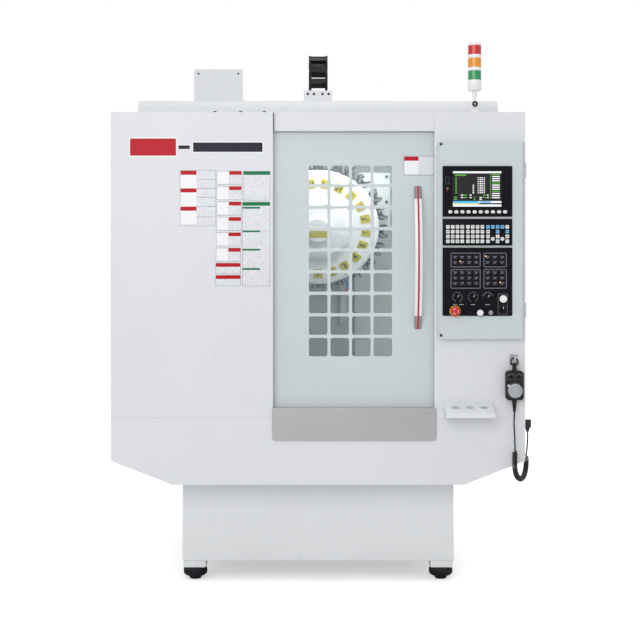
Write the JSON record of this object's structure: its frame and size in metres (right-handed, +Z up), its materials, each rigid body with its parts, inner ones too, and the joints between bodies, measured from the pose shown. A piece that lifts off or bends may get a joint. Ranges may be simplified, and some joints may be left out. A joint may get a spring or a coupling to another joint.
{
  "type": "cnc drilling and tapping centre",
  "caption": "Compact vertical drilling and tapping centre with sliding door, tool turret, cross table, hinged console, signal lamp and hand unit.",
  "frame": {"origin": "on the floor under the centre of the machine's box, cord left out", "axes": "+X to the operator's right, +Y from the operator to the back, +Z up"},
  "size_m": [1.784, 2.16, 2.3536],
  "materials": {
    "cover_paint": "fine-textured white powder coat",
    "door_paint": "blue-grey powder coat",
    "casting_grey": "painted casting",
    "ground_steel": "ground steel",
    "stainless": "brushed stainless sheet",
    "liner_paint": "grey-green paint",
    "motor_black": "black motor enamel",
    "pane": "clear polycarbonate",
    "handle_paint": "white moulding with a red strip",
    "hose_blue": "blue jointed hose",
    "turret_white": "white enamel",
    "gripper_dark": "blackened steel",
    "plate_yellow": "yellow plates",
    "panel_black": "black fascia",
    "knob_black": "black moulding",
    "button_white": "white lens",
    "stop_red": "red moulding",
    "lamp_plastic": "white body with coloured lenses",
    "chain_black": "black polyamide",
    "pad_black": "black pads under white blocks",
    "cord_black": "black cable sheath"
  },
  "bodies": {
    "frame": {"base_casting": "cover_paint", "leveling_feet": "pad_black", "column": "casting_grey", "guide_rails": "ground_steel", "axis_motors": "motor_black", "left_front_cover": "cover_paint", "right_front_cover": "cover_paint", "lower_front_cover": "cover_paint", "header_cover": "cover_paint", "sill_apron": "stainless", "left_side_panel": "cover_paint", "right_side_panel": "cover_paint", "rear_cover": "cover_paint", "roof_deck": "cover_paint", "roof_hood": "cover_paint", "roof_box": "cover_paint", "splash_liner": "liner_paint", "door_track": "stainless", "turret_carrier": "casting_grey", "chain_bracket": "cover_paint", "drag_chain": "chain_black", "electrical_cabinet": "cover_paint", "tool_tray": "cover_paint", "lamp_foot": "lamp_plastic", "pendant_hook": "stainless", "pendant_body": "knob_black", "pendant_cord": "cord_black", "pendant_curl": "cord_black", "cord_gland": "cord_black"},
    "door": {"door_panel": "door_paint", "window_pane": "pane", "door_handle": "handle_paint"},
    "cross_saddle": {"saddle": "casting_grey", "cross_motor": "motor_black"},
    "head": {"spindle_head": "casting_grey", "spindle_motor": "motor_black", "coolant_hoses": "hose_blue"},
    "turret": {"turret_cover": "turret_white", "gripper_ring": "gripper_dark", "number_plates": "plate_yellow"},
    "console": {"console_panel": "door_paint", "display_unit": "panel_black", "keyboard_unit": "panel_black", "operator_panel": "panel_black"},
    "cabinet_door": {"cabinet_door": "cover_paint"},
    "main_switch": {"main_switch": "stop_red"},
    "table_body": {"table": "ground_steel"},
    "spindle_body": {"spindle": "ground_steel"},
    "estop_button": {"estop_button": "stop_red"},
    "feed_knob": {"feed_knob": "knob_black"},
    "rapid_knob": {"rapid_knob": "knob_black"},
    "speed_knob": {"speed_knob": "knob_black"},
    "start_button": {"start_button": "button_white"},
    "hold_button": {"hold_button": "button_white"},
    "reset_button": {"reset_button": "knob_black"},
    "mode_selector": {"mode_selector": "knob_black"},
    "lamp_stack": {"lamp_stack": "lamp_plastic"},
    "handwheel": {"handwheel": "ground_steel"},
    "axis_selector": {"axis_selector": "knob_black"},
    "rate_selector": {"rate_selector": "knob_black"}
  },
  "joints": [
    {"name": "door_slide", "type": "slide", "parent": "frame", "child": "door", "axis": [-1, 0, 0], "range_m": [0, 0.57]},
    {"name": "y_slide", "type": "slide", "parent": "frame", "child": "cross_saddle", "axis": [0, 1, 0], "range_m": [-0.2, 0.2]},
    {"name": "x_slide", "type": "slide", "parent": "cross_saddle", "child": "table_body", "axis": [1, 0, 0], "range_m": [-0.3, 0.3]},
    {"name": "z_slide", "type": "slide", "parent": "frame", "child": "head", "axis": [0, 0, -1], "range_m": [0, 0.3], "deforming": ["drag_chain"]},
    {"name": "spindle_spin", "type": "hinge", "parent": "head", "child": "spindle_body", "pos_m": [0, -0.25, 1.24], "axis": [0, 0, 1], "continuous": true},
    {"name": "turret_index", "type": "hinge", "parent": "frame", "child": "turret", "pos_m": [0, -0.56, 1.53], "axis": [0, -0.9205, -0.3907], "continuous": true},
    {"name": "console_hinge", "type": "hinge", "parent": "frame", "child": "console", "pos_m": [0.8685, -0.9865, 1.467], "axis": [0, 0, 1], "range_deg": [0, 100]},
    {"name": "estop_push", "type": "slide", "parent": "console", "child": "estop_button", "axis": [0, 1, 0], "range_m": [0, 0.005]},
    {"name": "feed_turn", "type": "hinge", "parent": "console", "child": "feed_knob", "pos_m": [0.5812, -1.021, 1.229], "axis": [0, -1, 0], "range_deg": [-150, 150]},
    {"name": "rapid_turn", "type": "hinge", "parent": "console", "child": "rapid_knob", "pos_m": [0.6455, -1.021, 1.229], "axis": [0, -1, 0], "range_deg": [-150, 150]},
    {"name": "speed_turn", "type": "hinge", "parent": "console", "child": "speed_knob", "pos_m": [0.7072, -1.021, 1.229], "axis": [0, -1, 0], "range_deg": [-150, 150]},
    {"name": "mode_turn", "type": "hinge", "parent": "console", "child": "mode_selector", "pos_m": [0.7702, -1.021, 1.178], "axis": [0, -1, 0], "range_deg": [-60, 60]},
    {"name": "reset_push", "type": "slide", "parent": "console", "child": "reset_button", "axis": [0, 1, 0], "range_m": [0, 0.004], "stiffness_N_per_m": 600},
    {"name": "start_push", "type": "slide", "parent": "console", "child": "start_button", "axis": [0, 1, 0], "range_m": [0, 0.004], "stiffness_N_per_m": 600},
    {"name": "hold_push", "type": "slide", "parent": "console", "child": "hold_button", "axis": [0, 1, 0], "range_m": [0, 0.004], "stiffness_N_per_m": 600},
    {"name": "lamp_fold", "type": "hinge", "parent": "frame", "child": "lamp_stack", "pos_m": [0.668, -0.89, 2.05], "axis": [0, 1, 0], "range_deg": [-90, 0]},
    {"name": "handwheel_turn", "type": "hinge", "parent": "frame", "child": "handwheel", "pos_m": [0.821, -1.02, 0.839], "axis": [0, -1, 0], "continuous": true},
    {"name": "axis_select", "type": "hinge", "parent": "frame", "child": "axis_selector", "pos_m": [0.804, -1.02, 0.897], "axis": [0, -1, 0], "range_deg": [0, 150]},
    {"name": "rate_select", "type": "hinge", "parent": "frame", "child": "rate_selector", "pos_m": [0.838, -1.02, 0.897], "axis": [0, -1, 0], "range_deg": [0, 60]},
    {"name": "cabinet_hinge", "type": "hinge", "parent": "frame", "child": "cabinet_door", "pos_m": [-0.5055, 1.01525, 1.26], "axis": [0, 0, 1], "range_deg": [0, 110]},
    {"name": "switch_turn", "type": "hinge", "parent": "cabinet_door", "child": "main_switch", "pos_m": [0.38, 1.04, 1.57], "axis": [0, 1, 0], "range_deg": [0, 90]}
  ]
}
